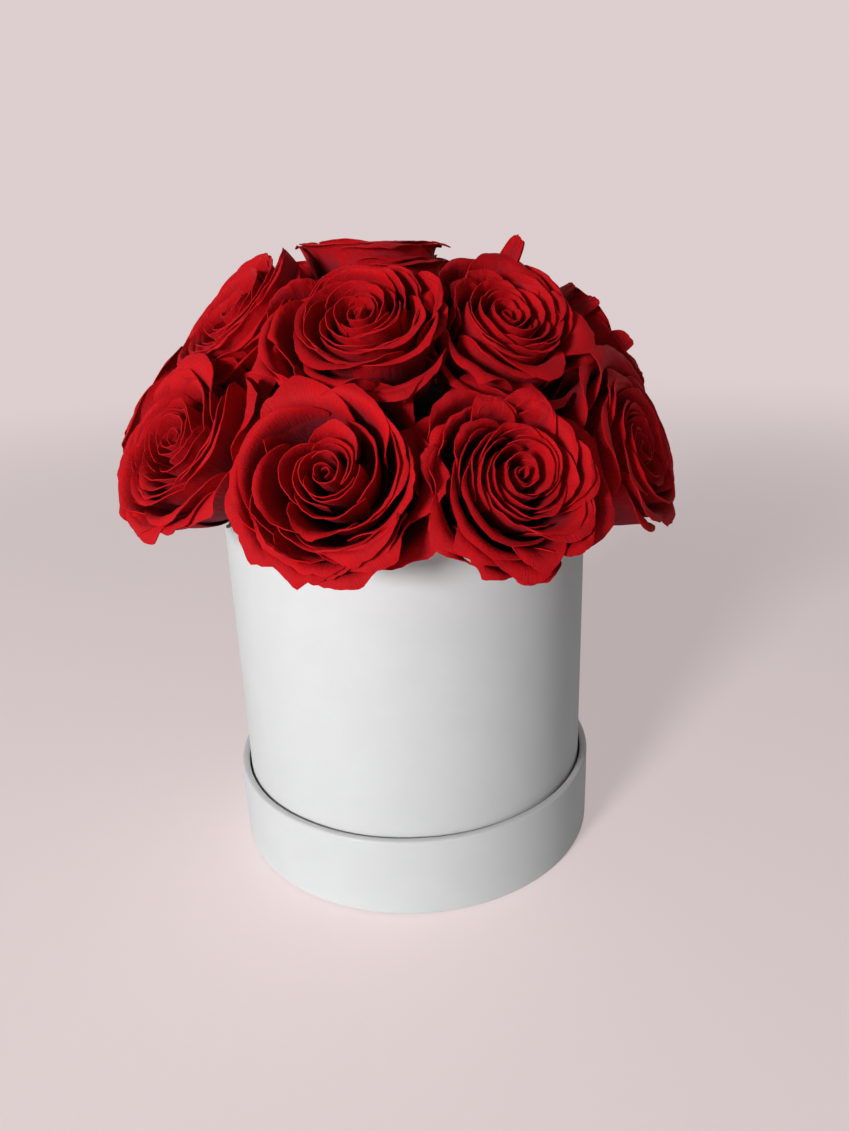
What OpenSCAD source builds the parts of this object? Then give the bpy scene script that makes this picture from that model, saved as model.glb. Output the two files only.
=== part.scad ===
// Round flower box: a paper-covered board box standing in its own lid, packed with dry foam
// and a dome of preserved roses. Origin at the centre of the lid's underside, +Z up, -Y to the front.

/* [Box] */
// Outside diameter of the box over its cover paper
box_d = 130; // [116:1:144]
// Height of the box from its underside to its rim
box_h = 127; // [112:1:142]
// Thickness of the grey board in walls, base and lid panel
board_t = 2; // [1.6:0.1:2.4]
// Thickness of the cover and lining papers
paper_t = 0.25; // [0.2:0.05:0.35]
// Thickness of the paste layer between board and paper
paste_t = 0.1; // [0.08:0.01:0.12]
// Radius of the paper-wrapped edges
edge_r = 0.9; // [0.7:0.05:1.1]
// Depth that the box cover paper turns in below the rim
box_turn_in = 18; // [12:1:24]
// Width that cover paper turns onto the base or the lid panel
turn_under = 12; // [8:1:16]
// Margin left round the paper disc on the base and the lid panel
disc_margin = 2.5; // [2:0.1:4]

/* [Lid] */
// Height of the lid from its panel to its rim
lid_h = 30; // [24:1:36]
// Running gap between the box and the lid all round
lid_gap = 0.8; // [0.5:0.1:1.2]
// Depth that the lid cover paper turns in below the rim
lid_turn_in = 15; // [10:1:18]

/* [Foam] */
// Fitting gap between the foam and the box lining
foam_gap = 0.3; // [0.2:0.05:0.5]
// Drop from the box rim to the shoulder of the foam
foam_drop = 12; // [8:1:20]
// Gap between a rose hip and the foam dome below it
hip_gap = 0.3; // [0.2:0.05:0.5]

/* [Roses] */
// Diameter of an open bloom over its guard petals
bloom_d = 56; // [52:0.5:60]
// Height of a bloom from its seat to the heart petals' tips
bloom_h = 30; // [27:0.5:33]
// Height of a bloom from its seat to the guard petals' tips
guard_h = 26; // [24:0.5:28]
// Number of roses in the upper ring
upper_count = 6; // [5:1:6]
// Number of roses in the lower ring
lower_count = 9; // [8:1:9]
// Lean of the upper roses from upright
upper_tilt = 38; // [35:1:40]
// Lean of the lower roses from upright
lower_tilt = 61; // [58:1:64]
// Direction of the first upper rose, from the front towards the right
upper_start = -12; // [-60:1:60]
// Direction of the first lower rose, from the front towards the right
lower_start = -13; // [-40:1:40]
// Lean of the whole dome of roses towards the right
dome_lean = 4.5; // [0:0.5:6]
// Spacing of neighbouring blooms as a share of their diameter, so that petals pass beside each other
bloom_nest = 0.94; // [0.94:0.01:1]
// Clearance between neighbouring blooms, and between blooms and the rim
bloom_gap = 0.6; // [0.5:0.1:1]
// How far the centres of the lower guard-petal circles stand out past the box wall
rim_reach = 19.6; // [18:0.2:22]

/* [Petals] */
// Number of petals in a bloom
petal_count = 12; // [11:1:13]
// Thickness of a petal
petal_t = 0.4; // [0.3:0.05:0.5]
// Radius of the heart petal at its tip
heart_r = 3.2; // [2.6:0.1:4]
// How far the belly of the heart petal swells outside its tip
heart_belly = 1.5; // [1:0.1:2]
// How far the neck of the heart petal swells outside its tip
heart_neck = 1; // [0.5:0.1:1.5]
// How far the belly of a guard petal lies inside its tip
guard_belly = 10.5; // [9.5:0.1:11.5]
// How far the neck of a guard petal lies inside its tip
guard_neck = 8.5; // [7.5:0.1:9.5]
// Height of a petal's belly as a share of the petal's height, at the heart
heart_belly_rise = 0.25; // [0.2:0.01:0.3]
// Height of a petal's belly as a share of the petal's height, at the guard petals
guard_belly_rise = 0.14; // [0.12:0.01:0.16]
// Height of a petal's neck as a share of the petal's height, at the heart
heart_neck_rise = 0.7; // [0.65:0.01:0.75]
// Height of a petal's neck as a share of the petal's height, at the guard petals
guard_neck_rise = 0.85; // [0.8:0.01:0.9]
// How quickly the petals open from the heart outwards: 1 is an even spacing, less crowds the outside
petal_crowding = 0.65; // [0.6:0.01:0.7]
// Radius of a petal's rounded edge as a share of the petal's length
petal_round = 0.75; // [0.7:0.01:0.8]
// Turn that the heart petal covers round the bloom
heart_sweep = 300; // [270:5:330]
// Turn that a guard petal covers round the bloom
guard_sweep = 132; // [120:2:144]

/* [Stems] */
// Thickness of the seat that carries the petals
seat_t = 2; // [1.5:0.1:3]
// Diameter of a rose hip where the petals sit on it
hip_d = 19; // [17:0.5:21]
// Height of a rose hip
hip_h = 11; // [9:0.5:13]
// Diameter of a rose hip at its lower end
hip_foot_d = 7; // [6:0.5:8]
// Reach of a sepal along the underside of the bloom, as a share of a guard petal
sepal_reach = 0.42; // [0.3:0.02:0.5]
// Width of a sepal where it leaves the hip
sepal_w = 7.8; // [6:0.2:9]
// Width of a sepal at its belly
sepal_belly_w = 6.8; // [5:0.2:8]
// Place of a sepal's belly as a share of the way from the hip to its tip
sepal_belly = 0.4; // [0.3:0.05:0.5]
// Thickness of a sepal
sepal_t = 0.6; // [0.4:0.05:0.8]
// Gap between a sepal and the petal above it
sepal_gap = 0.3; // [0.2:0.05:0.5]
// Diameter of the wooden pick in each hip
pick_d = 2.2; // [1.8:0.1:2.6]
// Depth of the pick in the hip
pick_in_hip = 7; // [5:0.5:8]
// Depth of the pick in the foam
pick_in_foam = 26; // [18:1:30]
// Length of the pick's point
pick_point = 5; // [3:0.5:7]
// Diameter of the blunt end of the pick's point
pick_tip_d = 0.4; // [0.3:0.1:0.8]
// Radial clearance of the pick in the hip and the foam
pick_gap = 0.1; // [0.05:0.01:0.15]

/* [Hidden] */
$fn = 96;
golden_angle = 137.508;
bloom_spin = 245;
back_steps = 8;
dome_steps = 12;
sepal_count = 5;
sepal_foot = 0.06;
sepal_span = 90;
cut_over = 1;

paper_white = [0.93, 0.93, 0.92];
board_grey = [0.62, 0.58, 0.52];
foam_grey = [0.55, 0.53, 0.47];
petal_red = [0.62, 0.02, 0.04];
sepal_green = [0.36, 0.40, 0.24];
wood_tan = [0.76, 0.62, 0.42];

// Layers of a covered wall or panel, from one paper face to the other
skin_t = paper_t + paste_t;
wall_t = board_t + 2 * skin_t;

// Radii and heights of the box and the lid
box_r = box_d / 2;
box_inner_r = box_r - wall_t;
lid_inner_r = box_r + lid_gap;
lid_r = lid_inner_r + wall_t;
lid_floor = 2 * skin_t + board_t + skin_t;
rim_z = lid_floor + box_h;
base_top = lid_floor + 2 * skin_t + board_t;
foam_r = box_inner_r - foam_gap;
shoulder_z = rim_z - foam_drop;

function mix(a, b, t) = a + (b - a) * t;
function reversed(v) = [for (i = [len(v) - 1:-1:0]) v[i]];
function arc(centre, r, from, to, steps = 6) =
  [for (i = [0:steps]) let (a = mix(from, to, i / steps)) centre + r * [cos(a), sin(a)]];
function bezier(p, t) =
  pow(1 - t, 3) * p[0] + 3 * pow(1 - t, 2) * t * p[1] + 3 * (1 - t) * t * t * p[2] + pow(t, 3) * p[3];

// Petal profiles: t runs from 0 at the heart of a bloom to 1 at its guard petals
seat_r = hip_d / 2 - petal_t;
function tip(t) = [mix(heart_r, bloom_d / 2, pow(t, petal_crowding)), mix(bloom_h, guard_h, t)];
function petal_curve(t) = let (foot = [mix(heart_r / 2, seat_r, t), 0], end = tip(t)) [
  foot,
  [end[0] + mix(heart_belly, -guard_belly, t), mix(heart_belly_rise, guard_belly_rise, t) * end[1]],
  [end[0] + mix(heart_neck, -guard_neck, t), mix(heart_neck_rise, guard_neck_rise, t) * end[1]],
  end];
function curve_normal(t, s) =
  let (d = bezier(petal_curve(t), s + 0.01) - bezier(petal_curve(t), s - 0.01)) [d[1], -d[0]] / norm(d);
function curve_steps(t) = round(mix(3, 5, t));
function petal_edge(t, offset, from = 0, to = 1) =
  [for (i = [0:curve_steps(t)])
    let (s = mix(from, to, i / curve_steps(t))) bezier(petal_curve(t), s) + offset * curve_normal(t, s)];

// Places of the roses: rings of guard-petal circles that just clear each other over the dome,
// the lower ones carried out over the box wall
function spread(lean, turn) = acos(pow(sin(lean), 2) * cos(turn) + pow(cos(lean), 2));
function pitch(angle) = bloom_nest * bloom_d * cos(angle / 2) + bloom_gap;
upper_r = pitch(spread(upper_tilt, 360 / upper_count)) / (2 * sin(180 / upper_count));
upper_fall = upper_r * tan(upper_tilt / 2);
ring_step = pitch(lower_tilt - upper_tilt);
lower_r = box_r + rim_reach;
lower_fall = upper_fall + sqrt(pow(ring_step, 2) - pow(lower_r - upper_r, 2));

// Backs of the lower guard petals, in each rose's upright plane, about the centre of the lower ring
back_edge = petal_edge(1, petal_t / 2);
back_line = [for (i = [0:len(back_edge) - 2], j = [0:back_steps])
  let (p = mix(back_edge[i], back_edge[i + 1], j / back_steps), rise = p[1] - guard_h)
  [
    lower_r + rise * sin(lower_tilt) + p[0] * cos(lower_tilt),
    rise * cos(lower_tilt) - p[0] * sin(lower_tilt)]];
function leaned(p) = [
  p[0] * cos(dome_lean) + p[2] * sin(dome_lean), p[1], p[2] * cos(dome_lean) - p[0] * sin(dome_lean)];
back_points = [for (i = [0:lower_count - 1], p = back_line)
  let (turn = lower_start + i * 360 / lower_count)
  leaned([p[0] * sin(turn), -p[0] * cos(turn), p[1]])];

// Height of the lower ring: its guard petals rest just above the box rim
rest_gap = bloom_gap + 2 * sepal_gap + sepal_t;
lower_z = rim_z + rest_gap - min([for (p = back_points) if (norm([p[0], p[1]]) < box_r + rest_gap) p[2]]);
top_z = lower_z + lower_fall;
upper_z = top_z - upper_fall;

// Each rose: distance from the axis and height of its guard-petal circle, lean, direction
roses = concat(
  [[0, top_z, 0, upper_start]],
  [for (i = [0:upper_count - 1]) [upper_r, upper_z, upper_tilt, upper_start + i * 360 / upper_count]],
  [for (i = [0:lower_count - 1]) [lower_r, lower_z, lower_tilt, lower_start + i * 360 / lower_count]]);

// Foam dome: a sphere that stays clear of the feet of all the hips
hip_reach = guard_h + seat_t + hip_h;
function hip_foot(r, z, tilt, side) = [
  r - hip_reach * sin(tilt) + side * hip_foot_d / 2 * cos(tilt),
  z - hip_reach * cos(tilt) - side * hip_foot_d / 2 * sin(tilt)];
top_foot = hip_foot(0, top_z, 0, 0);
lower_foot = hip_foot(lower_r, lower_z, lower_tilt, 0);
dome_z = (pow(top_foot[1], 2) - pow(lower_foot[1], 2) - pow(lower_foot[0], 2))
  / (2 * (top_foot[1] - lower_foot[1]));
hip_feet = [for (ring = [roses[0], roses[1], roses[1 + upper_count]], side = [-1:1])
  hip_foot(ring[0], ring[1], ring[2], side)];
dome_r = min([for (p = hip_feet) norm(p - [0, dome_z])]) - hip_gap;

// Leans the dome about the centre of the lower ring
module leaned_dome() {
  translate([0, 0, lower_z])
    rotate([0, dome_lean, 0])
      translate([0, 0, -lower_z])
        children();
}

// Moves children from a bloom's own frame, seat at the origin and heart up, to its place
module at_rose(i) {
  leaned_dome()
    rotate([0, 0, roses[i][3]])
      translate([0, -roses[i][0], roses[i][1]])
        rotate([roses[i][2], 0, 0])
          translate([0, 0, -guard_h])
            rotate([0, 0, i * bloom_spin])
              children();
}

// Cover paper of a wall: turned onto the panel below, up the outside and in over the rim
module wall_paper(r_out, z_low, z_rim, turned_in) {
  r_in = r_out - wall_t;
  inner_edge_r = edge_r - paper_t;
  outside = concat(
    [[r_out - turn_under, z_low]],
    arc([r_out - edge_r, z_low + edge_r], edge_r, -90, 0),
    arc([r_out - edge_r, z_rim - edge_r], edge_r, 0, 90),
    arc([r_in + edge_r, z_rim - edge_r], edge_r, 90, 180),
    [[r_in, z_rim - turned_in]]);
  inside = concat(
    [[r_out - turn_under, z_low + paper_t]],
    arc([r_out - edge_r, z_low + edge_r], inner_edge_r, -90, 0),
    arc([r_out - edge_r, z_rim - edge_r], inner_edge_r, 0, 90),
    arc([r_in + edge_r, z_rim - edge_r], inner_edge_r, 90, 180),
    [[r_in + paper_t, z_rim - turned_in]]);
  color(paper_white)
    rotate_extrude()
      polygon(concat(outside, reversed(inside)));
}

// Board tube of a wall, with its edges eased for the paper
module wall_board(r_out, z_low, z_rim) {
  board_edge_r = edge_r - skin_t;
  board_r = r_out - skin_t;
  board_in = board_r - board_t;
  color(board_grey)
    rotate_extrude()
      polygon(concat(
        [[board_in, z_low + skin_t]],
        arc([r_out - edge_r, z_low + edge_r], board_edge_r, -90, 0),
        arc([r_out - edge_r, z_rim - edge_r], board_edge_r, 0, 90),
        arc([board_in + board_edge_r, z_rim - edge_r], board_edge_r, 90, 180)));
}

// Board disc that closes a tube, flush with its lower edge
module panel_board(r_out, z_low) {
  color(board_grey)
    translate([0, 0, z_low + skin_t])
      cylinder(r = r_out - skin_t - board_t - paste_t, h = board_t);
}

module paper_disc(r, z) {
  color(paper_white)
    translate([0, 0, z])
      cylinder(r = r, h = paper_t);
}

module lid_panel_board() {
  panel_board(lid_r, skin_t);
}

module lid_wall_board() {
  wall_board(lid_r, skin_t, lid_h);
}

module lid_wall_paper() {
  wall_paper(lid_r, skin_t, lid_h, lid_turn_in);
}

module lid_panel_paper() {
  paper_disc(lid_r - disc_margin, 0);
}

module lid_lining_paper() {
  paper_disc(lid_inner_r - paste_t, lid_floor - paper_t);
}

module box_tube_board() {
  wall_board(box_r, lid_floor + skin_t, rim_z);
}

module box_base_board() {
  panel_board(box_r, lid_floor + skin_t);
}

module box_wall_paper() {
  wall_paper(box_r, lid_floor + skin_t, rim_z, box_turn_in);
}

module box_base_paper() {
  paper_disc(box_r - disc_margin, lid_floor);
}

// Lining of the box wall, from the base up to the cover paper's turn-in
module box_lining_paper() {
  color(paper_white)
    translate([0, 0, base_top])
      difference() {
        cylinder(r = box_inner_r + paper_t, h = rim_z - box_turn_in - paste_t - base_top);
        translate([0, 0, -cut_over])
          cylinder(r = box_inner_r, h = box_h + cut_over);
      }
}

// Block of dry foam that fills the box, domed above its shoulder and pierced by every pick
module foam_block() {
  neck_z = shoulder_z - foam_drop;
  color(foam_grey)
    difference() {
      union() {
        translate([0, 0, base_top])
          cylinder(r = foam_r, h = shoulder_z - base_top);
        intersection() {
          leaned_dome()
            rotate_extrude()
              polygon(concat([[0, neck_z], [dome_r, neck_z]], arc([0, dome_z], dome_r, 0, 90, dome_steps)));
          cylinder(r = foam_r, h = top_z);
        }
      }
      for (i = [0:len(roses) - 1])
        at_rose(i)
          pick_shape(pick_gap);
    }
}

// One petal: a cupped strip turned about the bloom's axis, cut round in its own plane
module petal(t) {
  sweep = mix(heart_sweep, guard_sweep, sqrt(t));
  foot = petal_curve(t)[0];
  rise = tip(t) - foot;
  round_r = petal_round * norm(rise);
  middle = tip(t) - round_r * rise / norm(rise);
  lean = atan2(rise[0], rise[1]);
  module strip() {
    rotate([0, 0, -sweep / 2])
      rotate_extrude(angle = sweep)
        polygon(concat(petal_edge(t, -petal_t / 2), reversed(petal_edge(t, petal_t / 2))));
  }
  if (sweep > 180)
    strip();
  else
    intersection() {
      strip();
      translate([middle[0], 0, middle[1]])
        rotate([0, 90 + lean, 0])
          cylinder(r = round_r, h = bloom_d + cut_over, center = true);
    }
}

// Petals spiral out from the heart by the golden angle, on one round seat
module bloom() {
  color(petal_red) {
    for (k = [0:petal_count - 1])
      rotate([0, 0, k * golden_angle])
        petal(k / (petal_count - 1));
    translate([0, 0, -seat_t])
      cylinder(d = hip_d, h = seat_t + petal_t);
  }
}

// Sepal: a pointed leaf that leaves the hip and follows the underside of a guard petal
module sepal() {
  hip_r = hip_d / 2;
  top = -seat_t;
  near = petal_t / 2 + sepal_gap;
  inner_side = petal_edge(1, near, sepal_foot, sepal_reach);
  outer_side = petal_edge(1, near + sepal_t, sepal_foot, sepal_reach);
  tip_r = outer_side[len(outer_side) - 1][0] - 2 * sepal_t;
  belly_r = mix(hip_r, tip_r, sepal_belly);
  intersection() {
    rotate([0, 0, -sepal_span / 2])
      rotate_extrude(angle = sepal_span)
        polygon(concat(
          [[hip_r - sepal_t, top - sepal_gap], [hip_r + sepal_gap, top - sepal_gap]],
          inner_side,
          reversed(outer_side),
          [[hip_r + sepal_gap + sepal_t, top - sepal_gap], [hip_r - sepal_t, top - 3 * sepal_t]]));
    translate([0, 0, top - hip_h])
      linear_extrude(height = hip_h + guard_h)
        polygon([
          [hip_r / 2, -sepal_w / 2],
          [belly_r, -sepal_belly_w / 2],
          [tip_r, 0],
          [belly_r, sepal_belly_w / 2],
          [hip_r / 2, sepal_w / 2]]);
  }
}

// Hip with its sepals and a blind hole for the pick
module calyx() {
  hip_r = hip_d / 2;
  foot_r = hip_foot_d / 2;
  top = -seat_t;
  side = [[hip_r, top], [hip_r, top - hip_h / 2], [foot_r, top - hip_h / 2], [foot_r, top - hip_h]];
  color(sepal_green)
    difference() {
      union() {
        rotate_extrude()
          polygon(concat([[0, top]], [for (s = [0:0.2:1]) bezier(side, s)], [[0, top - hip_h]]));
        for (k = [0:sepal_count - 1])
          rotate([0, 0, k * 360 / sepal_count])
            sepal();
      }
      pick_shape(pick_gap);
    }
}

// Wooden pick, grown by a clearance where it makes its own hole
module pick_shape(grow) {
  top = -seat_t - hip_h + pick_in_hip + grow;
  shank = pick_in_hip + hip_gap + pick_in_foam - pick_point + 2 * grow;
  translate([0, 0, top - shank])
    cylinder(d = pick_d + 2 * grow, h = shank);
  translate([0, 0, top - shank - pick_point])
    cylinder(d1 = pick_tip_d + 2 * grow, d2 = pick_d + 2 * grow, h = pick_point);
}

module pick() {
  color(wood_tan)
    pick_shape(0);
}

lid_panel_board();
lid_wall_board();
lid_wall_paper();
lid_panel_paper();
lid_lining_paper();
box_tube_board();
box_base_board();
box_wall_paper();
box_base_paper();
box_lining_paper();
foam_block();
for (i = [0:len(roses) - 1]) {
  rose = str("rose_", i < 9 ? "0" : "", i + 1);
  at_rose(i) bloom();
  at_rose(i) calyx();
  at_rose(i) pick();
}
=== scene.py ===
# %% [markdown]
# A flower box: a round, paper-covered hat box that stands in its own lid, filled with a dome of roses.
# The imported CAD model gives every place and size. This script gives the finish: papers, petals, light.

# %% Load the frame
import math

import bpy
import numpy as np
from mathutils import Matrix, Vector


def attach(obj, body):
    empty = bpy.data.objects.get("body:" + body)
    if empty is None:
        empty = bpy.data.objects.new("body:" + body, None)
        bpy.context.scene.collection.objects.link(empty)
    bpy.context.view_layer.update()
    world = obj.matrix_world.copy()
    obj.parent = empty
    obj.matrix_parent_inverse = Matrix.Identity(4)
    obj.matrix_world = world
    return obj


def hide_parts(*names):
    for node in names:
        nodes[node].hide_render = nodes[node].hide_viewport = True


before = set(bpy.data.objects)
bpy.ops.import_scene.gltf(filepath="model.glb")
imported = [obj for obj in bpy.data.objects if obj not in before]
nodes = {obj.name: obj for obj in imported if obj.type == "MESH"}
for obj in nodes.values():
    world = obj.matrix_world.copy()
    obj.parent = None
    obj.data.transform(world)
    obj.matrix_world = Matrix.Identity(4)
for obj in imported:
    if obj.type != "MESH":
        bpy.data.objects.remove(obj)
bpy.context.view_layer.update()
scene = bpy.context.scene
MM = 0.001

# %% [markdown]
# The camera comes first, because everything else is judged through it. The photograph was taken from close
# by, a little above the roses, so the box narrows towards its foot. A focal length in pixels turns into a
# lens in millimetres through the height of the sensor.

# %% Camera
IMAGE_HEIGHT = 1131
FOCAL_PIXELS = 850
SENSOR = 36
CAMERA_AT = Vector((6.5, -302.1, 209.2)) * MM
CAMERA_AIM = Vector((6.5, 0, 102.3)) * MM
CAMERA_ROLL = math.radians(-2.07)
CLIP_START = 0.01


def camera_matrix(at, aim, roll):
    ahead = (aim - at).normalized()
    right = ahead.cross(Vector((0, 0, 1))).normalized()
    up = right.cross(ahead)
    rolled = right * math.cos(roll) + up * math.sin(roll)
    turn = Matrix((rolled, -ahead.cross(rolled), -ahead)).transposed()
    return Matrix.Translation(at) @ turn.to_4x4()


camera = bpy.data.objects.new("camera", bpy.data.cameras.new("camera"))
camera.data.sensor_fit = "VERTICAL"
camera.data.sensor_height = SENSOR
camera.data.lens = SENSOR * FOCAL_PIXELS / IMAGE_HEIGHT
camera.matrix_world = camera_matrix(CAMERA_AT, CAMERA_AIM, CAMERA_ROLL)
camera.data.clip_start = CLIP_START
scene.collection.objects.link(camera)
scene.camera = camera
print("lens in mm:", round(camera.data.lens, 2))

# %% [markdown]
# Node trees read best as formulas. A Field wraps one socket and turns +, -, * and / into Math nodes, in
# shader trees and in Geometry Nodes alike, so a petal's outline can be written the way it is thought of.

# %% Formulas for node trees


class Field:
    def __init__(self, tree, socket):
        self.tree = tree
        self.socket = socket

    def __add__(self, other):
        return calc(self.tree, "ADD", self, other)

    def __radd__(self, other):
        return calc(self.tree, "ADD", other, self)

    def __sub__(self, other):
        return calc(self.tree, "SUBTRACT", self, other)

    def __rsub__(self, other):
        return calc(self.tree, "SUBTRACT", other, self)

    def __mul__(self, other):
        return calc(self.tree, "MULTIPLY", self, other)

    def __truediv__(self, other):
        return calc(self.tree, "DIVIDE", self, other)

    def __pow__(self, other):
        return calc(self.tree, "POWER", self, other)


def add_node(tree, kind, inputs=None, **settings):
    made = tree.nodes.new(kind)
    for name, value in settings.items():
        setattr(made, name, value)
    for key, value in (inputs or {}).items():
        if isinstance(value, Field):
            value = value.socket
        if isinstance(value, bpy.types.NodeSocket):
            tree.links.new(value, made.inputs[key])
        else:
            made.inputs[key].default_value = value
    return made


def calc(tree, operation, *values):
    made = add_node(tree, "ShaderNodeMath", dict(enumerate(values)), operation=operation)
    return Field(tree, made.outputs[0])


def vector(tree, x, y, z):
    return add_node(tree, "ShaderNodeCombineXYZ", {0: x, 1: y, 2: z}).outputs[0]


def noise(tree, place, scale=1.0, detail=1.0, roughness=0.5):
    inputs = {"Vector": place, "Scale": scale, "Detail": detail, "Roughness": roughness}
    return Field(tree, add_node(tree, "ShaderNodeTexNoise", inputs).outputs[0])


def ramp(tree, low, high, value):
    """0 below low, 1 above high, smooth between them."""
    inputs = {"Value": value, "From Min": low, "From Max": high}
    made = add_node(tree, "ShaderNodeMapRange", inputs, interpolation_type="SMOOTHSTEP")
    return Field(tree, made.outputs[0])


def blend_colour(tree, share, first, second):
    made = add_node(tree, "ShaderNodeMix", {0: share, 6: first, 7: second}, data_type="RGBA")
    return made.outputs[2]


def mix(low, high, share):
    return share * (high - low) + low


# %% [markdown]
# Two effects are shared by several finishes, so each is a node group. Fibres are the fine, cloudy grain of
# paper, board and foam. Veins are the lines that fan out from the foot of a petal or a leaf, and they follow
# the surface's own map, where x runs across the petal and y from its foot to its edge.

# %% Shared shader groups
CLOUD_SHARE = 0.05
AGE_SPREAD = 37.0
FOLD_SCALE = 3.0, 2.5
CRINKLE_SCALE = 14.0, 11.0


def new_group(name, inputs, outputs, group_kind="ShaderNodeTree", output_kind="NodeSocketFloat"):
    group = bpy.data.node_groups.new(name, group_kind)
    for label, kind, value in inputs:
        socket = group.interface.new_socket(name=label, in_out="INPUT", socket_type=kind)
        if value is not None:
            socket.default_value = value
    for label in outputs:
        group.interface.new_socket(name=label, in_out="OUTPUT", socket_type=output_kind)
    return group, group.nodes.new("NodeGroupInput"), group.nodes.new("NodeGroupOutput")


def fibres_group():
    sizes = [("Place", "NodeSocketVector", None), ("Grain", "NodeSocketFloat", 900.0)]
    group, given, result = new_group("fibres", sizes, ["Clouds", "Grain"])
    grain = Field(group, given.outputs["Grain"])
    place = given.outputs["Place"]
    clouds = noise(group, place, grain * CLOUD_SHARE, detail=3.0, roughness=0.55)
    fine = noise(group, place, grain, detail=4.0, roughness=0.7)
    group.links.new(clouds.socket, result.inputs["Clouds"])
    group.links.new(fine.socket, result.inputs["Grain"])
    return group


def veins_group():
    sizes = [
        ("Map", "NodeSocketVector", None),
        ("Count", "NodeSocketFloat", 40.0),
        ("Age", "NodeSocketFloat", 0.0),
    ]
    group, given, result = new_group("veins", sizes, ["Veins", "Folds", "Crinkles"])
    split = add_node(group, "ShaderNodeSeparateXYZ", {0: given.outputs["Map"]})
    across = Field(group, split.outputs[0])
    along = Field(group, split.outputs[1])
    age = Field(group, given.outputs["Age"]) * AGE_SPREAD
    fan = across * Field(group, given.outputs["Count"])
    veins = noise(group, vector(group, fan, along * 2.0, age), detail=3.0, roughness=0.6)
    fold_place = vector(group, across * FOLD_SCALE[0], along * FOLD_SCALE[1], age + 11.0)
    folds = noise(group, fold_place, detail=3.0, roughness=0.55)
    crinkle_place = vector(group, across * CRINKLE_SCALE[0], along * CRINKLE_SCALE[1], age + 5.0)
    crinkles = noise(group, crinkle_place, detail=4.0, roughness=0.6)
    group.links.new(veins.socket, result.inputs["Veins"])
    group.links.new(folds.socket, result.inputs["Folds"])
    group.links.new(crinkles.socket, result.inputs["Crinkles"])
    return group


FIBRES = fibres_group()
VEINS = veins_group()
print("shader groups:", FIBRES.name, VEINS.name)

# %% [markdown]
# Each finish is one function that fills a Principled shader. The cover paper is a smooth, matt white with a
# cloudy grain that shows only in grazing light. A picture of paper could give the same, but a noise has no
# seam round the box and stays sharp from close by. Grey board and dry foam are coarser forms of it. The foam
# is
# painted nearly black: the brown of dry foam, darkened as painted shade for the gaps between the roses.

# %% Paper, board and foam
NOISE_RANGE = 0.3, 0.7
ROUGHNESS_SPREAD = 0.1


def new_finish(name, **constants):
    material = bpy.data.materials.new(name)
    material.use_nodes = True
    tree = material.node_tree
    shader = tree.nodes["Principled BSDF"]
    for label, value in constants.items():
        shader.inputs[label.replace("_", " ")].default_value = value
    return material, tree, shader


def object_place(tree):
    return add_node(tree, "ShaderNodeTexCoord").outputs["Object"]


def set_bump(tree, shader, height, depth):
    bump = add_node(tree, "ShaderNodeBump", {"Height": height, "Distance": depth, "Strength": 1.0})
    tree.links.new(bump.outputs[0], shader.inputs["Normal"])


def fibre_finish(name, light, dark, grain, depth, roughness):
    material, tree, shader = new_finish(name)
    fibres = add_node(tree, "ShaderNodeGroup", node_tree=FIBRES)
    tree.links.new(object_place(tree), fibres.inputs["Place"])
    fibres.inputs["Grain"].default_value = grain
    clouds = Field(tree, fibres.outputs["Clouds"])
    fine = Field(tree, fibres.outputs["Grain"])
    share = ramp(tree, *NOISE_RANGE, clouds * 0.6 + fine * 0.4)
    tree.links.new(blend_colour(tree, share, dark, light), shader.inputs["Base Color"])
    rough = mix(roughness - ROUGHNESS_SPREAD, roughness + ROUGHNESS_SPREAD, fine)
    tree.links.new(rough.socket, shader.inputs["Roughness"])
    set_bump(tree, shader, fine * 0.5 + clouds * 0.5, depth)
    return material


paper_finish = fibre_finish(
    "white cover paper", light=(0.75, 0.755, 0.76, 1), dark=(0.72, 0.725, 0.73, 1),
    grain=1400.0, depth=0.00004, roughness=0.5)
board_finish = fibre_finish(
    "grey board", light=(0.36, 0.32, 0.26, 1), dark=(0.24, 0.21, 0.17, 1),
    grain=700.0, depth=0.0002, roughness=0.85)
# Nearly black: painted shade for the gaps between the roses, over the brown of dry foam
foam_painted_shade_finish = fibre_finish(
    "dry foam", light=(0.06, 0.04, 0.035, 1), dark=(0.03, 0.018, 0.016, 1),
    grain=500.0, depth=0.001, roughness=0.9)
print("paper finishes:", [m.name for m in (paper_finish, board_finish, foam_painted_shade_finish)])

# %% [markdown]
# A preserved rose keeps a velvet surface. Sheen gives the velvet, and a little of it is enough, because such
# petals have hardly any gloss. The petal's own map draws the veins, so they follow the petal however it
# curls.
# The map also paints shade and light into the petal's colour: its dark foot is painted shade deep in the cup,
# partly the petal's own deeper colour, and the brighter red of the rolled lips is painted light, broken up by
# the grain. The sepals share that finish in green, and the wood of the picks is a noise that is stretched
# along the grain.

# %% Petals, sepals and wood
FOOT_FADE = 0.45, 0.92
LIP_FADE = 0.5, 0.95
VEIN_ROUGHNESS = 0.5, 0.72
# Petal foot, body and lip: the dark foot is painted shade of the cup, partly the petal's deeper colour; the
# brighter lip is painted light
PETAL_COLOURS_PAINTED_SHADE_AND_LIGHT = (0.23, 0.016, 0.026, 1), (0.49, 0.010, 0.016, 1), (0.65, 0.004, 0.007, 1)
SEPAL_COLOURS = (0.16, 0.19, 0.08, 1), (0.13, 0.17, 0.07, 1), (0.26, 0.27, 0.15, 1)
WOOD_COLOURS = (0.34, 0.22, 0.11, 1), (0.58, 0.43, 0.26, 1)
WOOD_STRETCH = 900, 900, 120
WOOD_ROUGHNESS = 0.6, 0.8


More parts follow.
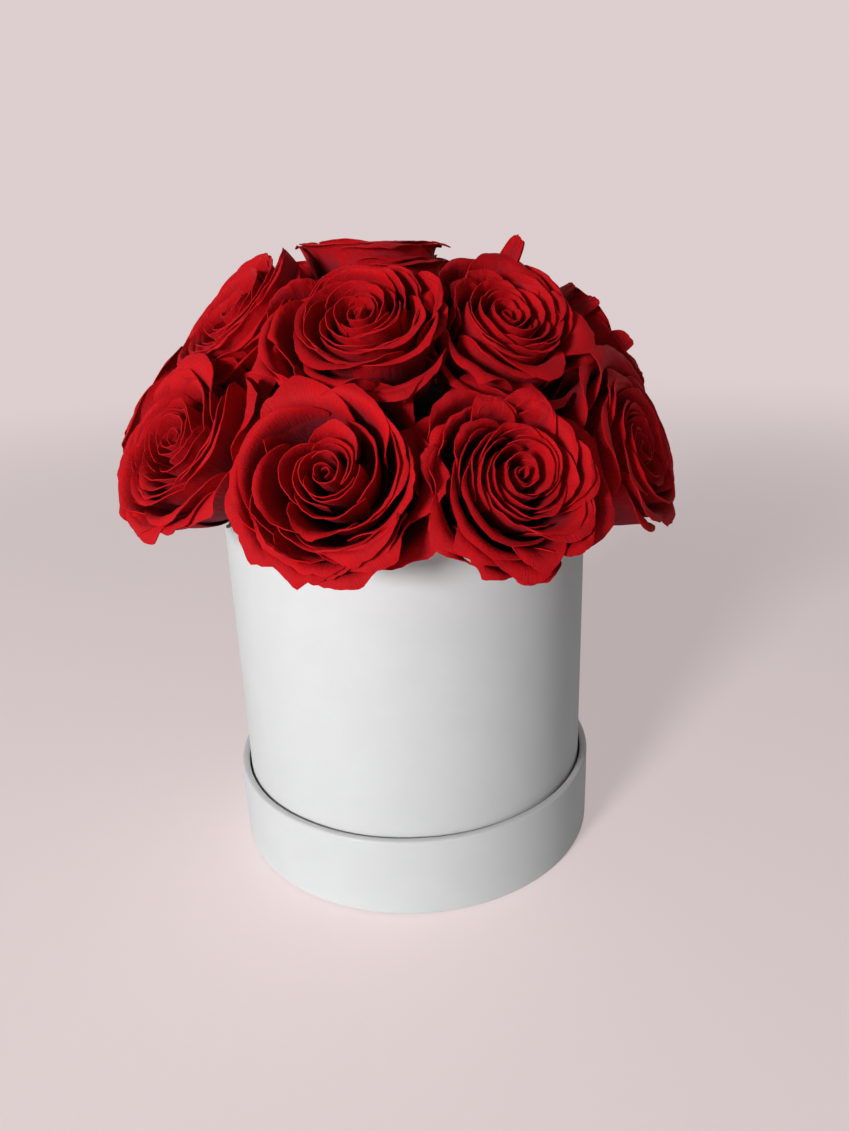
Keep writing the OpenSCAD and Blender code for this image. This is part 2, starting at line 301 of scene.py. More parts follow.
def mapped_finish(name, colours, count, depth, **constants):
    material, tree, shader = new_finish(name, **constants)
    petal_map = add_node(tree, "ShaderNodeAttribute", attribute_name="petal").outputs["Vector"]
    age = add_node(tree, "ShaderNodeAttribute", attribute_name="age").outputs["Fac"]
    veins = add_node(tree, "ShaderNodeGroup", node_tree=VEINS)
    tree.links.new(petal_map, veins.inputs["Map"])
    tree.links.new(age, veins.inputs["Age"])
    veins.inputs["Count"].default_value = count
    lines = Field(tree, veins.outputs["Veins"])
    folds = Field(tree, veins.outputs["Folds"])
    crinkles = Field(tree, veins.outputs["Crinkles"])
    along = Field(tree, add_node(tree, "ShaderNodeSeparateXYZ", {0: petal_map}).outputs[1])
    foot, body, lip = colours
    # On the petals this darkening towards the foot is painted shade of the cup, partly the petal's deeper
    # colour
    foot_painted_shade_and_colour = blend_colour(tree, ramp(tree, *FOOT_FADE, along), foot, body)
    grain = lines * 0.3 + folds * 0.45 + crinkles * 0.25
    # On the petals the brighter lip colour is painted light on the rolled lips, broken up by the grain noise
    lip_painted_light_and_colour = ramp(tree, *NOISE_RANGE, grain) * ramp(tree, *LIP_FADE, along)
    tree.links.new(blend_colour(tree, lip_painted_light_and_colour, foot_painted_shade_and_colour, lip), shader.inputs["Base Color"])
    tree.links.new(mix(*VEIN_ROUGHNESS, lines).socket, shader.inputs["Roughness"])
    set_bump(tree, shader, lines * 0.5 + folds + crinkles * 0.6, depth)
    return material


def wood_finish(name):
    material, tree, shader = new_finish(name, Specular_IOR_Level=0.3)
    stretch = add_node(tree, "ShaderNodeMapping", {"Vector": object_place(tree), "Scale": WOOD_STRETCH})
    grain = noise(tree, stretch.outputs[0], detail=4.0, roughness=0.6)
    colour = blend_colour(tree, ramp(tree, *NOISE_RANGE, grain), *WOOD_COLOURS)
    tree.links.new(colour, shader.inputs["Base Color"])
    tree.links.new(mix(*WOOD_ROUGHNESS, grain).socket, shader.inputs["Roughness"])
    set_bump(tree, shader, grain, depth=0.0001)
    return material


petal_finish = mapped_finish(
    "velvet petal", PETAL_COLOURS_PAINTED_SHADE_AND_LIGHT, count=60.0, depth=0.0004,
    Sheen_Weight=0.1, Sheen_Roughness=0.4, Sheen_Tint=(1.0, 0.12, 0.18, 1), Specular_IOR_Level=0.06)
sepal_finish = mapped_finish("dried sepal", SEPAL_COLOURS, count=14.0, depth=0.0004, Specular_IOR_Level=0.3)
pick_finish = wood_finish("pick wood")
print("rose finishes:", [m.name for m in (petal_finish, sepal_finish, pick_finish)])

# %% [markdown]
# Boards, linings, foam and picks are mostly hidden and are right as the CAD model has them, so they only get
# their finish. The last word of a node's name says what kind of piece it is.

# %% Finish the CAD pieces
NODE_FINISHES = {
    "paper": paper_finish,
    "board": board_finish,
    "block": foam_painted_shade_finish,
    "bloom": petal_finish,
    "calyx": sepal_finish,
    "pick": pick_finish,
}

for name, piece in nodes.items():
    piece.data.materials.clear()
    piece.data.materials.append(NODE_FINISHES[name.split("_")[-1]])
print("finished CAD pieces:", len(nodes))

# %% [markdown]
# The CAD papers are exact rings. Real cover paper is pasted by hand: it swells a little off the board, its
# rim isn't quite level, and its ends overlap in a seam at the back. A displaced copy of the ring would do for
# the swelling but not for the seam. So both wall papers are turned again, from the same radii and heights, as
# one closed profile carried round the axis. Only the outer skin swells, so the paper never goes into the
# board behind it.

# %% Cover papers
# Lengths are in mm; the tiny seam step is an angle
PAPER_THICKNESS = 0.25
PAPER_EDGE = 0.9
PAPER_STEPS = 180
WALL_ROWS = 24
EDGE_STEPS = 6
SEAM_LAP = 12.0
SEAM_STEP = 1e-4
SWELL = 0.07
SWELL_WAVES = 3
RIM_WAVE = 0.06
RIM_WAVES = 5, 11
RIM_ONLY = 8
PAPER_FOLD = math.radians(40)
BOX_SEAM = math.radians(120)
LID_SEAM = math.radians(75)


def points(name):
    mesh = nodes[name].data
    found = np.empty(len(mesh.vertices) * 3)
    mesh.vertices.foreach_get("co", found)
    return found.reshape(-1, 3)


def arc_points(centre, radius, start, end):
    angles = np.radians(np.linspace(start, end, EDGE_STEPS + 1))
    return [(centre[0] + radius * math.cos(a), centre[1] + radius * math.sin(a)) for a in angles]


def paper_profile(name):
    """Outer and inner skin of a cover paper as (radius, height) in mm, from its underside over the rim."""
    x, y, z = points(name).T / MM
    radius = np.hypot(x, y)
    low, rim, outer = z.min(), z.max(), radius.max()
    upper = z > (low + rim) / 2
    inner = radius[upper].min()
    turn_in = z[upper & (radius < inner + PAPER_THICKNESS / 2)].min()
    turn_under = radius.min()
    skins = []
    wall = np.linspace(low + PAPER_EDGE, rim - PAPER_EDGE, WALL_ROWS)[1:-1]
    for depth in (0.0, PAPER_THICKNESS):
        edge = PAPER_EDGE - depth
        skin = [(turn_under, low + depth)]
        skin += arc_points((outer - PAPER_EDGE, low + PAPER_EDGE), edge, -90, 0)
        skin += [(outer - depth, height) for height in wall]
        skin += arc_points((outer - PAPER_EDGE, rim - PAPER_EDGE), edge, 0, 90)
        skin += arc_points((inner + PAPER_EDGE, rim - PAPER_EDGE), edge, 90, 180)
        skin.append((inner + depth, turn_in))
        skins.append(skin)
    return skins


def wall_paper(name, seam):
    """Turns a cover paper round the axis, with a seam where its end laps over its start."""
    outer_skin, inner_skin = paper_profile(name)
    profile = np.array(outer_skin + inner_skin[::-1])
    radius, height = profile.T
    outside = np.arange(len(profile)) < len(outer_skin)
    low, rim, widest = height.min(), height.max(), radius.max()
    rise = (height - low) / (rim - low)
    wall = outside & (radius > widest - PAPER_EDGE)
    rows = []
    turns = np.linspace(0, math.tau, PAPER_STEPS, endpoint=False)
    for turn in np.append(turns, math.tau - SEAM_STEP):
        lap = max(1 - turn * widest / SEAM_LAP, 0) * PAPER_THICKNESS
        swell = SWELL * (1 + math.sin(SWELL_WAVES * turn + 1)) * np.sin(math.pi * rise)
        wave = math.sin(RIM_WAVES[0] * turn) + math.sin(RIM_WAVES[1] * turn + 2)
        wave = RIM_WAVE * wave * rise ** RIM_ONLY
        r = radius + wall * (swell + lap)
        place = turn + seam
        rows.append(np.stack([r * math.cos(place), r * math.sin(place), height + wave * outside], 1))
    count = len(profile)
    corners = np.arange(len(rows) * count).reshape(-1, count)
    after = np.roll(corners, -1, 0)
    faces = np.stack([corners, after, np.roll(after, -1, 1), np.roll(corners, -1, 1)], -1).reshape(-1, 4)
    mesh = bpy.data.meshes.new(name + "_turned")
    mesh.from_pydata(np.concatenate(rows) * MM, [], faces.tolist())
    mesh.polygons.foreach_set("use_smooth", [True] * len(faces))
    mesh.set_sharp_from_angle(angle=PAPER_FOLD)
    mesh.materials.append(paper_finish)
    piece = bpy.data.objects.new(mesh.name, mesh)
    scene.collection.objects.link(piece)
    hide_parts(name)
    return piece


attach(wall_paper("box_wall_paper", BOX_SEAM), "box")
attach(wall_paper("lid_wall_paper", LID_SEAM), "lid")
print("cover papers:", PAPER_STEPS, "steps round")

# %% [markdown]
# A rose bloom is petals round a heart, first rolled tightly, later wider, lower and with lips that roll
# outwards. Each petal could be modelled by hand, but the sixteen blooms have over six hundred. So the table
# of a bloom has one row for each petal: where its middle points (degrees, against the clock from the right),
# how far its edge reaches (mm from the heart), half the turn that it covers (degrees), how broad its lip is
# (mm) and, if it hangs lower than its neighbours, by how much (mm). A Geometry Nodes tree with a Repeat zone
# turns the rows into petals. Each one starts as a flat grid, with u across it and v from foot to edge. A
# Bezier curve gives its profile, noise its ragged edge and its waves, and every bloom has its own seed.

# %% The rose tree
PETAL_ROW = "turn", "reach", "half", "lip", "drop"
PETAL_COLUMNS = 29
PETAL_ROWS = 16
SHARP_FOLD = math.radians(50)
SAME_POINT = 1e-6

# Each pair is the value at the heart and the value at the guard petals
LIP_BREADTH = 0.9, 1.5
SIDE_ROUNDING = 0.08, 0.34
BROAD_RAGS = 0.015, 0.05
FINE_RAGS = 0.018, 0.034
BELLY_SWELL = 1.4, 3.0
NECK_HEIGHT = 0.72, 1.0
SIDE_OVERLAP = 0.3, 0.08
BROAD_WAVES = 0.4, 1.6
LIP_KINKS = 0.4, 2.2
LIP_WAVES = 0.4, 1.5
TURN_COVER = 0.95, 1.3

# A petal starts to be narrow at the first of these half turns and is all point at the second
NARROW_HALF = 14.0, 4.0
NARROW_POINT = 0.3
FOOT_WIDTH = 0.62
LIP_START = 0.6

# Shares of the bloom's radius: where the sunk heart starts and is deepest, where the guard petals hang
HEART_SHARE = 0.3, 0.0
GUARD_SHARE = 0.75, 1.1

# Ranges of chance: the height of a tip in mm, the place and the length of a petal's point
TIP_CHANCE = -0.8, 0.8
POINT_PLACE = -0.4, 0.4
POINT_LENGTH = 0.0, 0.1
POINT_SHARPNESS = 7.0

# Sizes in mm, and how much the petals are ruffled
ROSE_INPUTS = [
    ("Petals", "NodeSocketGeometry", None),
    ("Bloom radius", "NodeSocketFloat", 30.0),
    ("Crown height", "NodeSocketFloat", 28.5),
    ("Heart sink", "NodeSocketFloat", 2.0),
    ("Guard drop", "NodeSocketFloat", 6.0),
    ("Heart foot", "NodeSocketFloat", 0.6),
    ("Seat radius", "NodeSocketFloat", 9.0),
    ("Seat depth", "NodeSocketFloat", 1.9),
    ("Ruffle", "NodeSocketFloat", 1.0),
    ("Thickness", "NodeSocketFloat", 0.3),
    ("Seed", "NodeSocketInt", 1),
    ("Material", "NodeSocketMaterial", None),
]


def new_tree(name, inputs):
    return new_group(name, inputs, ["Geometry"], "GeometryNodeTree", "NodeSocketGeometry")


def repeat_zone(tree, count):
    first = tree.nodes.new("GeometryNodeRepeatInput")
    last = tree.nodes.new("GeometryNodeRepeatOutput")
    first.pair_with_output(last)
    tree.links.new(count, first.inputs["Iterations"])
    return first, last


def petal_shape(tree, given, k, u, v):
    """Place of the grid points of petal number k, and its age: 0 at the heart, 1 at the guard petals."""

    def size(label):
        return Field(tree, given.outputs[label])

    def draw(number, low, high):
        inputs = {2: low, 3: high, "ID": k, "Seed": size("Seed") * 31.0 + float(number)}
        return Field(tree, add_node(tree, "FunctionNodeRandomValue", inputs, data_type="FLOAT").outputs[1])

    def wave(x, y, z, detail=1.0):
        return noise(tree, vector(tree, x, y, z), detail=detail) * 2.0 - 1.0

    def over(value, low, high):
        """0 up to low, then rising to 1 at high."""
        return calc(tree, "MAXIMUM", (value - low) / (high - low), 0.0)

    def column(label):
        named = add_node(tree, "GeometryNodeInputNamedAttribute", {"Name": label}, data_type="FLOAT")
        inputs = {"Geometry": given.outputs["Petals"], "Value": named.outputs[0], "Index": k}
        return Field(tree, add_node(tree, "GeometryNodeSampleIndex", inputs, data_type="FLOAT").outputs[0])

    turn, reach, half, lip_width, drop = [column(label) for label in PETAL_ROW]
    t = calc(tree, "MINIMUM", reach / size("Bloom radius"), 1.0)
    lip_width = lip_width * mix(*LIP_BREADTH, t)
    seed = size("Seed") * 3.7 + k * 5.3
    side = calc(tree, "ABSOLUTE", u)

    # Tip of the petal in the bloom's profile: the heart is a little sunk, the guard petals hang
    tip_z = size("Crown height") - size("Heart sink") * over(t, *HEART_SHARE) ** 2.0 + draw(2, *TIP_CHANCE)
    tip_z = tip_z - size("Guard drop") * over(reach / size("Bloom radius"), *GUARD_SHARE) ** 1.5 - drop

    # Outline: rounded at the sides, ragged, with a small point near the middle; a narrow petal is all point
    rounded = (mix(*SIDE_ROUNDING, t) + over(half, *NARROW_HALF) * NARROW_POINT) * side ** 2.2
    ragged = wave(u * 1.7, seed, 0.0, 2.0) * mix(*BROAD_RAGS, t)
    ragged = ragged + wave(u * 8.0, seed, 3.0, 5.0) * mix(*FINE_RAGS, t)
    off_point = (u - draw(9, *POINT_PLACE)) * POINT_SHARPNESS
    pointed = t * draw(10, *POINT_LENGTH) / (off_point * off_point + 1.0)
    s = v * (1.0 - rounded + ragged + pointed)

    # Profile: up from the seat, in at the neck, out over the lip
    q = 1.0 - s
    from_foot = q ** 3.0
    from_belly = q * q * s * 3.0
    from_neck = q * s * s * 3.0
    from_tip = s ** 3.0
    middle = 1.0 - side * side * 0.7
    neck = reach - lip_width
    r = mix(size("Heart foot"), size("Seat radius"), t) * from_foot
    r = r + (neck + mix(*BELLY_SWELL, t)) * from_belly
    r = r + (neck - t * 1.5) * from_neck + (neck + lip_width * middle) * from_tip
    z = tip_z * 0.2 * from_belly + tip_z * (mix(*NECK_HEIGHT, t) + t * middle * 0.2) * from_neck
    z = z + tip_z * from_tip - size("Seat depth") * from_foot

    # One side of a petal lies under its neighbour, the other over it; the lip has soft waves and a few kinks
    lip = over(s, LIP_START, 1.0)
    r = r * (1.0 + u * mix(*SIDE_OVERLAP, t ** 0.5))
    broad = wave(u * 1.2, v * 0.8, seed) * s * s * mix(*BROAD_WAVES, t)
    kinks = (calc(tree, "ABSOLUTE", wave(u * 2.4, v * 0.6, seed + 9.0)) - 0.25) * lip * mix(*LIP_KINKS, t)
    r = r + (broad + kinks) * size("Ruffle")
    z = z + wave(u * 1.8, v, seed + 4.0, 1.5) * lip * mix(*LIP_WAVES, t) * size("Ruffle")

    angle = (turn + u * half * mix(*TURN_COVER, t) * mix(FOOT_WIDTH, 1.0, v ** 0.6)) * math.radians(1)
    x = r * calc(tree, "COSINE", angle)
    y = r * calc(tree, "SINE", angle)
    return vector(tree, x * MM, y * MM, z * MM), t


def mapped_grid(tree, columns, rows):
    """A flat grid, u from -1 to 1 across it and v from 0 to 1 along it, kept as the map of the surface."""
    sizes = {"Size X": 2.0, "Size Y": 1.0, "Vertices X": columns, "Vertices Y": rows}
    grid = add_node(tree, "GeometryNodeMeshGrid", sizes).outputs["Mesh"]
    place = tree.nodes.new("GeometryNodeInputPosition").outputs[0]
    point = add_node(tree, "ShaderNodeSeparateXYZ", {0: place})
    u = Field(tree, point.outputs[0])
    v = Field(tree, point.outputs[1]) + 0.5
    return stored(tree, grid, "petal", vector(tree, u, v, 0.0), "FLOAT2", "CORNER"), u, v


def joined(tree, *parts):
    both = add_node(tree, "GeometryNodeJoinGeometry")
    for part in parts:
        tree.links.new(part, both.inputs[0])
    return both.outputs[0]


def moved(tree, mesh, place):
    return add_node(tree, "GeometryNodeSetPosition", {"Geometry": mesh, "Position": place}).outputs[0]


def thickened(tree, mesh, thickness):
    """Gives a sheet its thickness: an extruded copy on one side, the turned sheet on the other."""
    inputs = {"Mesh": mesh, "Offset Scale": thickness, "Individual": False}
    raised = add_node(tree, "GeometryNodeExtrudeMesh", inputs, mode="FACES").outputs["Mesh"]
    turned = add_node(tree, "GeometryNodeFlipFaces", {0: mesh}).outputs[0]
    both = joined(tree, turned, raised)
    return add_node(tree, "GeometryNodeMergeByDistance", {0: both, "Distance": SAME_POINT}).outputs[0]


def stored(tree, mesh, name, value, kind, domain):
    inputs = {"Geometry": mesh, "Name": name, "Value": value}
    return add_node(tree, "GeometryNodeStoreNamedAttribute", inputs, data_type=kind, domain=domain).outputs[0]


def end_tree(tree, given, result, mesh):
    """Smooth faces with crisp cut edges, one plain mesh, one finish."""
    smooth = add_node(tree, "GeometryNodeSetShadeSmooth", {0: mesh}).outputs[0]
    fold = Field(tree, tree.nodes.new("GeometryNodeInputMeshEdgeAngle").outputs[0])
    crisp = calc(tree, "GREATER_THAN", fold, SHARP_FOLD)
    inputs = {0: smooth, "Selection": crisp, "Shade Smooth": False}
    smooth = add_node(tree, "GeometryNodeSetShadeSmooth", inputs, domain="EDGE").outputs[0]
    real = add_node(tree, "GeometryNodeRealizeInstances", {0: smooth}).outputs[0]
    painted = add_node(tree, "GeometryNodeSetMaterial", {0: real, "Material": given.outputs["Material"]})
    tree.links.new(painted.outputs[0], result.inputs[0])


def rose_tree():
    tree, given, result = new_tree("rose bloom", ROSE_INPUTS)
    rows = add_node(tree, "GeometryNodeAttributeDomainSize", {0: given.outputs["Petals"]}, component="MESH")
    first, last = repeat_zone(tree, rows.outputs["Point Count"])
    grid, u, v = mapped_grid(tree, PETAL_COLUMNS, PETAL_ROWS)
    place, t = petal_shape(tree, given, Field(tree, first.outputs["Iteration"]), u, v)
    petal = moved(tree, stored(tree, grid, "age", t, "FLOAT", "POINT"), place)
    tree.links.new(joined(tree, first.outputs["Geometry"], petal), last.inputs["Geometry"])
    thickness = Field(tree, given.outputs["Thickness"]) * MM
    end_tree(tree, given, result, thickened(tree, last.outputs["Geometry"], thickness))
    return tree


ROSE = rose_tree()
print("rose tree:", len(ROSE.nodes), "nodes")

# %% [markdown]
# Under each bloom sits the hip, a small green urn, with five sepals that reach up along the guard petals.
# They show where you look up under the dome. The same idea works: one grid makes a sepal in each pass of a
# Repeat zone, and a second grid, wrapped round the axis, makes the hip.

# %% The hip tree
SEPAL_COUNT = 5
SEPAL_COLUMNS = 9
SEPAL_ROWS = 15
HIP_COLUMNS = 33
HIP_ROWS = 17
HIP_INPUTS = [
    ("Sepals", "NodeSocketInt", SEPAL_COUNT),
    ("Hip radius", "NodeSocketFloat", 9.5),
    ("Hip height", "NodeSocketFloat", 11.0),
    ("Foot radius", "NodeSocketFloat", 3.5),
    ("Seat depth", "NodeSocketFloat", 2.0),
    ("Sepal reach", "NodeSocketFloat", 19.5),
    ("Sepal rise", "NodeSocketFloat", 6.0),
    ("Sepal width", "NodeSocketFloat", 4.2),
    ("Thickness", "NodeSocketFloat", 0.5),
    ("Seed", "NodeSocketInt", 1),
    ("Material", "NodeSocketMaterial", None),
]


def hip_tree():
    tree, given, result = new_tree("rose hip", HIP_INPUTS)

    def size(label):
        return Field(tree, given.outputs[label])

    first, last = repeat_zone(tree, given.outputs["Sepals"])
    k = Field(tree, first.outputs["Iteration"])
    leaf, u, v = mapped_grid(tree, SEPAL_COLUMNS, SEPAL_ROWS)
    inputs = {2: 0.0, 3: 1.0, "ID": k, "Seed": size("Seed")}
    chance = Field(tree, add_node(tree, "FunctionNodeRandomValue", inputs, data_type="FLOAT").outputs[1])
    waves = noise(tree, vector(tree, v * 3.0, k * 7.3 + size("Seed"), u), detail=2.0) - 0.5
    out = v ** 0.7
    r = mix(size("Hip radius") - 1.0, size("Sepal reach"), out) + chance * v * 2.0 - u * u * 0.8
    z = (size("Sepal rise") + size("Seat depth")) * v ** 1.7 - size("Seat depth") - 0.6 - chance * v * v * 4.0
    width = size("Sepal width") * (calc(tree, "SINE", v * 2.6 + 0.5) + waves * 0.35) * (1.0 - v ** 6.0)
    turn = k * (math.tau / SEPAL_COUNT) + chance * 0.25
    wide = u * width
    x = r * calc(tree, "COSINE", turn) - wide * calc(tree, "SINE", turn)
    y = r * calc(tree, "SINE", turn) + wide * calc(tree, "COSINE", turn)
    leaf = moved(tree, leaf, vector(tree, x * MM, y * MM, (z + waves * 1.6 * v) * MM))
    tree.links.new(joined(tree, first.outputs["Geometry"], leaf), last.inputs["Geometry"])
    sepals = thickened(tree, last.outputs["Geometry"], size("Thickness") * MM)

    urn, u, v = mapped_grid(tree, HIP_COLUMNS, HIP_ROWS)
    ends = calc(tree, "MINIMUM", calc(tree, "MINIMUM", v, 1.0 - v) * 12.0, 1.0) ** 0.5
    r = mix(size("Hip radius"), size("Foot radius"), ramp(tree, 0.1, 0.9, v)) * ends
    z = (size("Seat depth") + size("Hip height") * v) * -1.0
    turn = u * math.pi
    x = r * calc(tree, "COSINE", turn)
    y = r * calc(tree, "SINE", turn)
    urn = moved(tree, urn, vector(tree, x * MM, y * MM, z * MM))
    closed = add_node(tree, "GeometryNodeMergeByDistance", {0: urn, "Distance": SAME_POINT}).outputs[0]
    end_tree(tree, given, result, joined(tree, sepals, closed))
    return tree


HIP = hip_tree()
print("hip tree:", len(HIP.nodes), "nodes")

# %% [markdown]
# A tree only runs on an object. Each rose gets two start meshes with the trees as their modifiers, the
# results are taken as plain meshes, and these are moved to the rose's place in the dome. The wooden pick
# gives the axis of each rose, and the lowest end of the CAD bloom along that axis gives the seat.

# %% Bloom places
ROSE_COUNT = sum(name.endswith("_bloom") for name in nodes)
SEAT_THICKNESS = 2.0


def rose_place(rose):
    """Matrix from a bloom's own frame, seat at the origin and heart up, to its place in the dome."""
    pick = points(rose + "_pick")
    bloom = points(rose + "_bloom")
    middle = pick.mean(0)
    axis = np.linalg.svd(pick - middle)[2][0]
    if axis @ (bloom.mean(0) - middle) < 0:
        axis = -axis
    low = ((bloom - middle) @ axis).min() + SEAT_THICKNESS * MM
    turn = Vector(axis).to_track_quat("Z", "Y").to_matrix().to_4x4()
    return Matrix.Translation(middle + axis * low) @ turn


def baked(tree, name, start=None, **values):
    """Runs a tree on a start mesh and keeps the result as the object's plain mesh."""
    piece = bpy.data.objects.new(name, start or bpy.data.meshes.new(name))
    scene.collection.objects.link(piece)
    modifier = piece.modifiers.new(tree.name, "NODES")
    modifier.node_group = tree
    sockets = {item.name: item.identifier for item in tree.interface.items_tree if item.in_out == "INPUT"}
    for label, value in values.items():
        modifier[sockets[label.replace("_", " ")]] = value
    made = bpy.data.meshes.new_from_object(piece.evaluated_get(bpy.context.evaluated_depsgraph_get()))
    piece.modifiers.clear()
    piece.data = made
    return piece


# %% [markdown]
# The five roses that face the camera have their petals set one by one, from the heart outwards. The others
# follow a rule: each petal stands a golden angle on from the last, a little further out and with a broader
# lip. Four of them also have a few set petals where they show beside the five, and those at the back have
# three low ones that reach over the rim. A ring of guard petals closes the gaps between neighbours.

# %% Petal tables
FRONT_LEFT = [
    (20, 1.2, 140, 0.2), (150, 2.4, 120, 0.3), (265, 3.5, 110, 0.5), (40, 4.8, 95, 0.6),
    (160, 6.0, 85, 0.6), (270, 7.2, 80, 0.8), (200, 8.2, 75, 0.8), (300, 9.0, 70, 1.0), (45, 9.3, 75, 3.4),
    (170, 11.0, 60, 1.6), (270, 12.8, 55, 1.6), (65, 13.4, 55, 5.6), (15, 15.0, 50, 1.4),
    (262, 18.2, 38, 3.6), (200, 19.5, 48, 3.4), (0, 22.5, 62, 3.4), (165, 23.5, 60, 3.6),
    (60, 23.0, 40, 4.2), (300, 24.0, 45, 3.0), (112, 26.5, 42, 8.0), (185, 26.2, 40, 4.0),
    (340, 25.0, 40, 3.0), (300, 26.5, 36, 4.5), (240, 26.5, 36, 4.5), (228, 30.0, 30, 5.0),
    (270, 28.0, 30, 4.0), (255, 29.5, 28, 4.5), (300, 29.5, 26, 4.5), (278, 31.5, 30, 5.0),
    (325, 33.0, 30, 5.0, 9),
]
FRONT_RIGHT = [
    (60, 1.4, 150, 0.2), (195, 2.6, 125, 0.3), (320, 3.9, 110, 0.5), (90, 5.2, 95, 0.6),
    (215, 6.4, 85, 0.7), (330, 7.6, 80, 0.9), (20, 8.8, 78, 1.4), (150, 9.4, 75, 0.8), (270, 10.2, 75, 1.2),
    (30, 12.0, 75, 1.8), (195, 12.4, 65, 1.6), (275, 12.8, 60, 1.4), (90, 13.4, 60, 2.2),
    (235, 14.6, 50, 1.0), (335, 15.0, 50, 2.4), (140, 15.2, 50, 1.6), (30, 19.5, 44, 4.0),
    (212, 21.5, 56, 4.2), (290, 19.5, 40, 3.0), (135, 21.0, 32, 3.6), (340, 22.3, 32, 4.6),
    (105, 23.8, 22, 6.0), (68, 23.0, 28, 5.0), (298, 24.0, 38, 7.0), (212, 25.5, 52, 4.4),
    (150, 27.2, 26, 3.0), (292, 27.2, 22, 4.0), (262, 26.5, 28, 6.0), (162, 29.5, 16, 4.0),
    (222, 29.0, 26, 5.5), (203, 30.5, 22, 4.0, 4), (232, 30.0, 22, 4.0, 2), (262, 30.5, 20, 4.5, 1),
    (118, 30.0, 26, 4.0, 5),
]
MIDDLE_CENTRE = [
    (0, 1.4, 150, 0.2), (140, 2.6, 120, 0.3), (270, 3.8, 110, 0.5), (30, 5.0, 95, 0.5), (160, 6.2, 85, 0.6),
    (285, 7.4, 82, 0.6), (40, 8.4, 75, 0.8), (215, 9.6, 72, 1.2), (350, 10.4, 68, 0.8), (90, 11.0, 60, 1.0),
    (235, 13.0, 60, 2.4), (320, 12.5, 58, 2.0), (150, 14.5, 48, 0.8), (270, 16.0, 52, 2.0),
    (45, 15.5, 50, 1.0), (195, 18.0, 55, 3.2), (262, 19.8, 46, 2.6), (325, 20.0, 55, 5.0),
    (88, 16.5, 44, 1.5, 1), (235, 22.5, 55, 6.0), (185, 25.5, 28, 3.0), (318, 25.5, 42, 4.4),
    (250, 25.5, 28, 4.0, 2), (40, 20.0, 40, 2.0, 2), (195, 29.5, 32, 3.0), (248, 29.5, 26, 4.5, 3),
    (155, 28.0, 22, 2.0, 1), (100, 19.5, 40, 1.5, 3), (292, 32.0, 22, 5.0), (205, 32.0, 18, 4.0),
    (15, 25.0, 30, 3.0, 2),
]
MIDDLE_RIGHT = [
    (60, 1.3, 150, 0.2), (190, 2.4, 125, 0.3), (310, 3.6, 110, 0.5), (70, 4.8, 95, 0.6),
    (170, 5.8, 85, 0.7), (350, 6.6, 85, 1.0), (255, 8.5, 78, 1.2), (40, 9.0, 70, 1.6), (170, 11.0, 65, 1.2),
    (268, 12.3, 60, 1.5), (350, 12.0, 60, 1.8), (70, 12.6, 60, 2.6), (185, 15.8, 50, 1.2),
    (85, 16.5, 34, 3.0), (265, 17.0, 42, 2.2), (330, 18.0, 48, 4.0), (10, 17.8, 42, 1.5),
    (125, 19.0, 32, 5.0), (218, 19.5, 38, 4.2), (346, 21.0, 22, 3.0), (48, 24.0, 44, 7.0),
    (95, 24.0, 38, 3.0), (250, 26.0, 42, 8.0), (150, 26.0, 26, 4.0), (8, 25.5, 28, 2.0),
    (320, 29.0, 34, 8.0), (200, 29.0, 28, 5.0), (45, 27.0, 6, 0.0, -7),
]
LEFT = [
    (0, 1.3, 150, 0.2), (130, 2.5, 125, 0.3), (250, 3.7, 110, 0.5), (20, 5.0, 95, 0.6), (270, 6.2, 85, 0.8),
    (140, 7.2, 80, 0.8), (40, 8.2, 75, 0.9), (90, 10.5, 65, 1.2), (180, 11.5, 65, 1.2),
    (320, 12.5, 62, 1.4), (250, 13.2, 55, 1.2), (262, 17.0, 48, 3.0), (70, 18.0, 42, 4.0),
    (180, 19.0, 55, 2.0), (0, 21.0, 46, 2.0), (268, 22.0, 46, 3.5), (120, 23.0, 40, 4.0),
    (5, 25.5, 42, 2.0), (90, 26.0, 46, 8.0), (230, 27.0, 38, 4.0), (305, 28.0, 36, 3.0),
    (28, 32.0, 24, 4.0), (200, 31.0, 28, 4.0), (235, 31.0, 26, 4.0), (275, 30.0, 32, 5.0),
    (318, 31.0, 34, 4.0, 2),
]
RIGHT_TOP = [
    (125, 26.0, 40, 5.0), (118, 34.0, 36, 6.0, -6), (150, 36.0, 26, 4.0, -6), (85, 33.0, 26, 5.0, -5),
]
LEFT_BACK = [
    (-10, 15.0, 70, 3.0), (-40, 18.0, 62, 4.0, 1), (25, 20.5, 58, 4.0, 2), (-20, 23.0, 60, 5.0, 4),
    (35, 25.0, 50, 5.0, 6), (-50, 26.0, 48, 5.0, 6), (0, 28.0, 52, 6.0, 9), (-40, 30.0, 40, 5.0, 12),
    (40, 30.0, 40, 6.0, 12), (180, 33.0, 34, 5.0, 10), (150, 32.0, 32, 5.0, 12),
]
TOP_FRONT = [
    (262, 24.0, 50, 6.0, 2), (225, 27.0, 40, 6.0, 5), (300, 27.0, 42, 7.0, 5), (255, 30.0, 36, 7.0, 8),
    (205, 30.0, 30, 6.0, 4), (330, 30.0, 32, 7.0, 7), (15, 38.0, 34, 5.0, 6), (55, 37.0, 36, 5.0, 6),
    (345, 36.0, 30, 5.0, 6), (105, 33.0, 36, 5.0, 8), (150, 32.0, 36, 5.0, 8),
]
